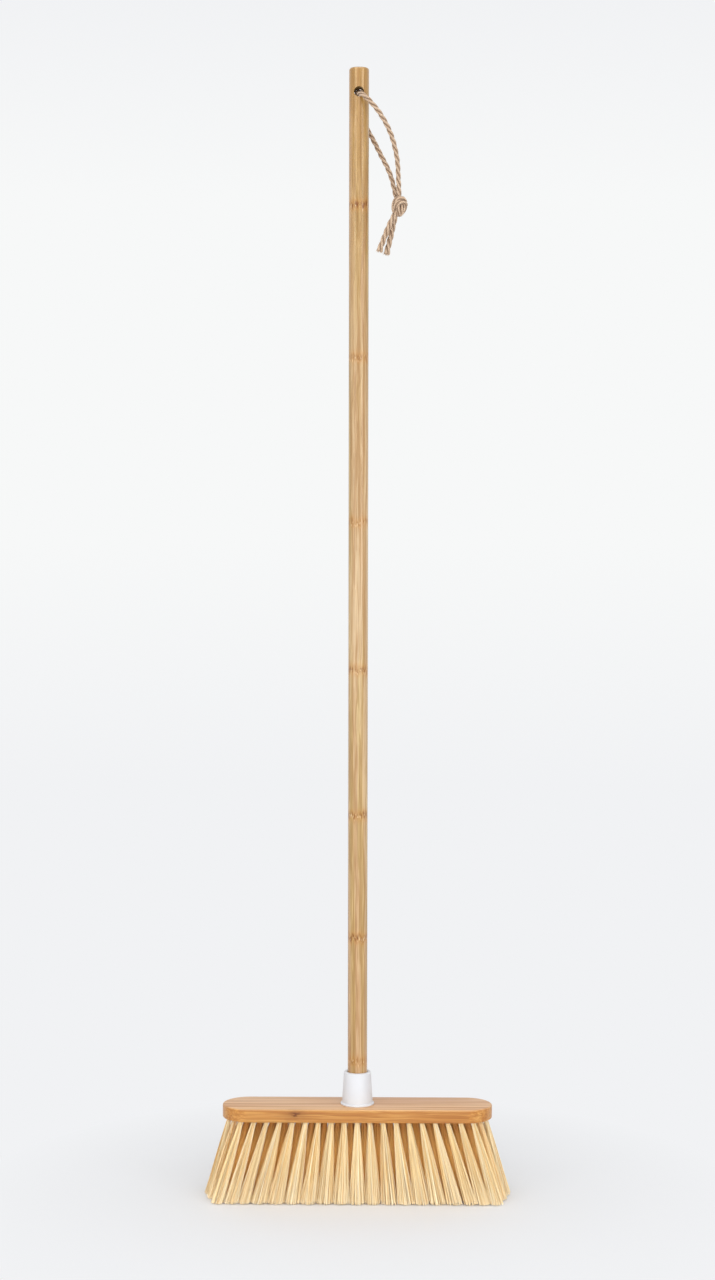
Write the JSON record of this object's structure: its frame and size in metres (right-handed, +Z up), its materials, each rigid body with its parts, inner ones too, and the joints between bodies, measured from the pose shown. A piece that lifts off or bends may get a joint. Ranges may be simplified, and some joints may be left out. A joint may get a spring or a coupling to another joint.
{
  "type": "broom",
  "caption": "Upright floor broom: bamboo block with fanned cream bristle tufts, white plastic screw socket, round bamboo pole and a knotted jute hanging loop.",
  "frame": {"origin": "on the plane of the bristle tips, under the axis of the pole, which is the middle of the block", "axes": "+Z up along the pole, X along the block, front of the broom towards -Y"},
  "size_m": [0.3444, 0.086, 1.26],
  "materials": {
    "bamboo_block": "satin oiled laminated bamboo",
    "bamboo_pole": "satin lacquered bamboo",
    "bristle": "matt cream filament tufts",
    "socket_plastic": "satin white moulded plastic",
    "tip_plastic": "matt white moulded plastic",
    "steel": "zinc plated",
    "jute": "rough natural jute cord"
  },
  "bodies": {
    "head": {"brush_block": "bamboo_block", "tuft_row_front": "bristle", "tuft_row_front_inner": "bristle", "tuft_row_middle": "bristle", "tuft_row_back_inner": "bristle", "tuft_row_back": "bristle", "tuft_anchors": "steel", "socket_collar": "socket_plastic", "socket_screws": "steel"},
    "screw_carrier": {"tip_screw": "steel"},
    "handle": {"handle_pole": "bamboo_pole", "thread_tip": "tip_plastic"},
    "hang_loop": {"cord_front_leg": "jute", "cord_back_leg": "jute", "cord_knot": "jute", "cord_tail_left": "jute", "cord_tail_right": "jute"}
  },
  "joints": [
    {"name": "handle_rise", "type": "slide", "parent": "head", "child": "screw_carrier", "axis": [0, 0, 1], "range_m": [0, 0.02]},
    {"name": "handle_turn", "type": "hinge", "parent": "screw_carrier", "child": "handle", "pos_m": [0, 0, 0.131], "axis": [0, 0, 1], "range_deg": [0, 1440]},
    {"name": "cord_swing", "type": "hinge", "parent": "handle", "child": "hang_loop", "pos_m": [0, 0, 1.233], "axis": [0, -1, 0], "range_deg": [0, 160]}
  ],
  "couplings": [
    {"joint": "handle_rise", "follows": "handle_turn", "m_per_rad": 0.00079577}
  ]
}
